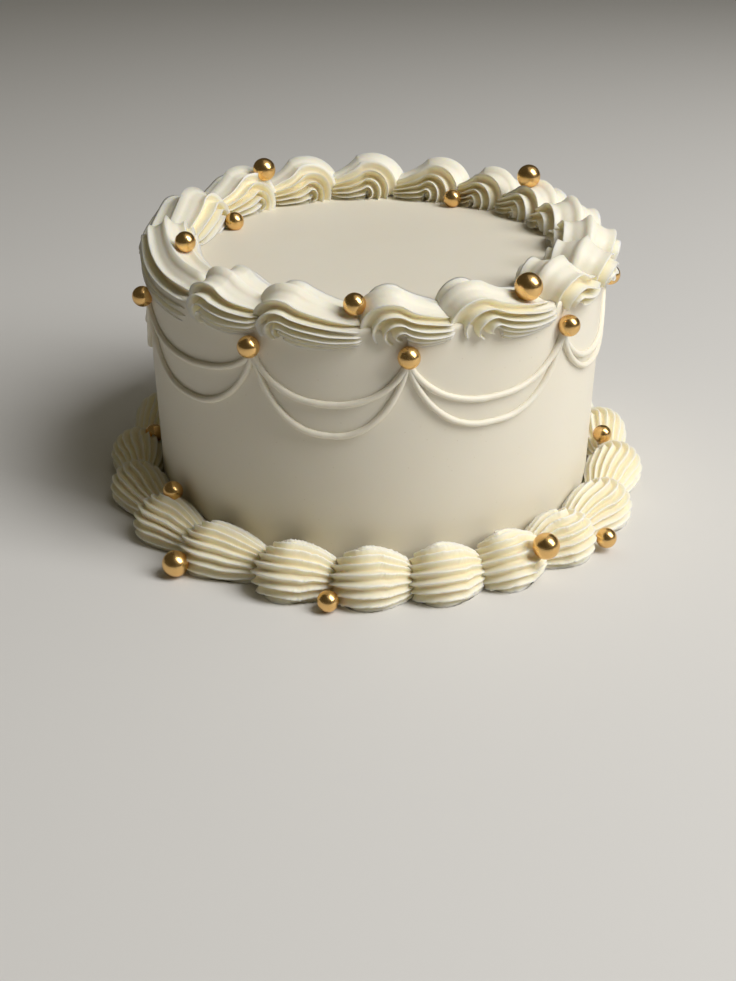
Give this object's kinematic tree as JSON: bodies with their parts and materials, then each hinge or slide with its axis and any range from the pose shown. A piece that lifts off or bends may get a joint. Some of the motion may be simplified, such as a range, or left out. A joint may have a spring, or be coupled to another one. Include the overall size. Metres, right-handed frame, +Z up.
{
  "type": "vanilla cake",
  "caption": "Round iced vanilla cake with piped shell borders at the top edge and the foot, string swags round the side and gold sugar pearls.",
  "frame": {"origin": "middle of the cake's flat underside", "axes": "+Z up along the drum's axis; -Y towards the side that the picture shows, +X to the right of it"},
  "size_m": [0.2246, 0.2302, 0.1171],
  "materials": {
    "icing": "smooth off-white vanilla buttercream, satin",
    "piping": "piped off-white vanilla buttercream, satin with soft ridges",
    "gold_pearl": "gold sugar pearl, satin metallic"
  },
  "bodies": {
    "root": {"cake": "icing", "top_shell_01": "piping", "top_shell_02": "piping", "top_shell_03": "piping", "top_shell_04": "piping", "top_shell_05": "piping", "top_shell_06": "piping", "top_shell_07": "piping", "top_shell_08": "piping", "top_shell_09": "piping", "top_shell_10": "piping", "top_shell_11": "piping", "top_shell_12": "piping", "top_shell_13": "piping", "top_shell_14": "piping", "top_shell_15": "piping", "top_shell_16": "piping", "base_shell_01": "piping", "base_shell_02": "piping", "base_shell_03": "piping", "base_shell_04": "piping", "base_shell_05": "piping", "base_shell_06": "piping", "base_shell_07": "piping", "base_shell_08": "piping", "base_shell_09": "piping", "base_shell_10": "piping", "base_shell_11": "piping", "base_shell_12": "piping", "base_shell_13": "piping", "base_shell_14": "piping", "base_shell_15": "piping", "base_shell_16": "piping", "base_shell_17": "piping", "base_shell_18": "piping", "base_shell_19": "piping", "base_shell_20": "piping", "swag_pearl_1": "gold_pearl", "swag_pearl_2": "gold_pearl", "swag_pearl_3": "gold_pearl", "swag_pearl_4": "gold_pearl", "swag_pearl_5": "gold_pearl", "swag_pearl_6": "gold_pearl", "swag_pearl_7": "gold_pearl", "swag_pearl_8": "gold_pearl", "swag_pearl_9": "gold_pearl", "top_pearl_1": "gold_pearl", "top_pearl_2": "gold_pearl", "top_pearl_3": "gold_pearl", "top_pearl_4": "gold_pearl", "top_pearl_5": "gold_pearl", "top_pearl_6": "gold_pearl", "top_pearl_7": "gold_pearl", "base_pearl_1": "gold_pearl", "base_pearl_2": "gold_pearl", "base_pearl_3": "gold_pearl", "base_pearl_4": "gold_pearl", "base_pearl_5": "gold_pearl", "base_pearl_6": "gold_pearl", "base_pearl_7": "gold_pearl"}
  },
  "joints": []
}
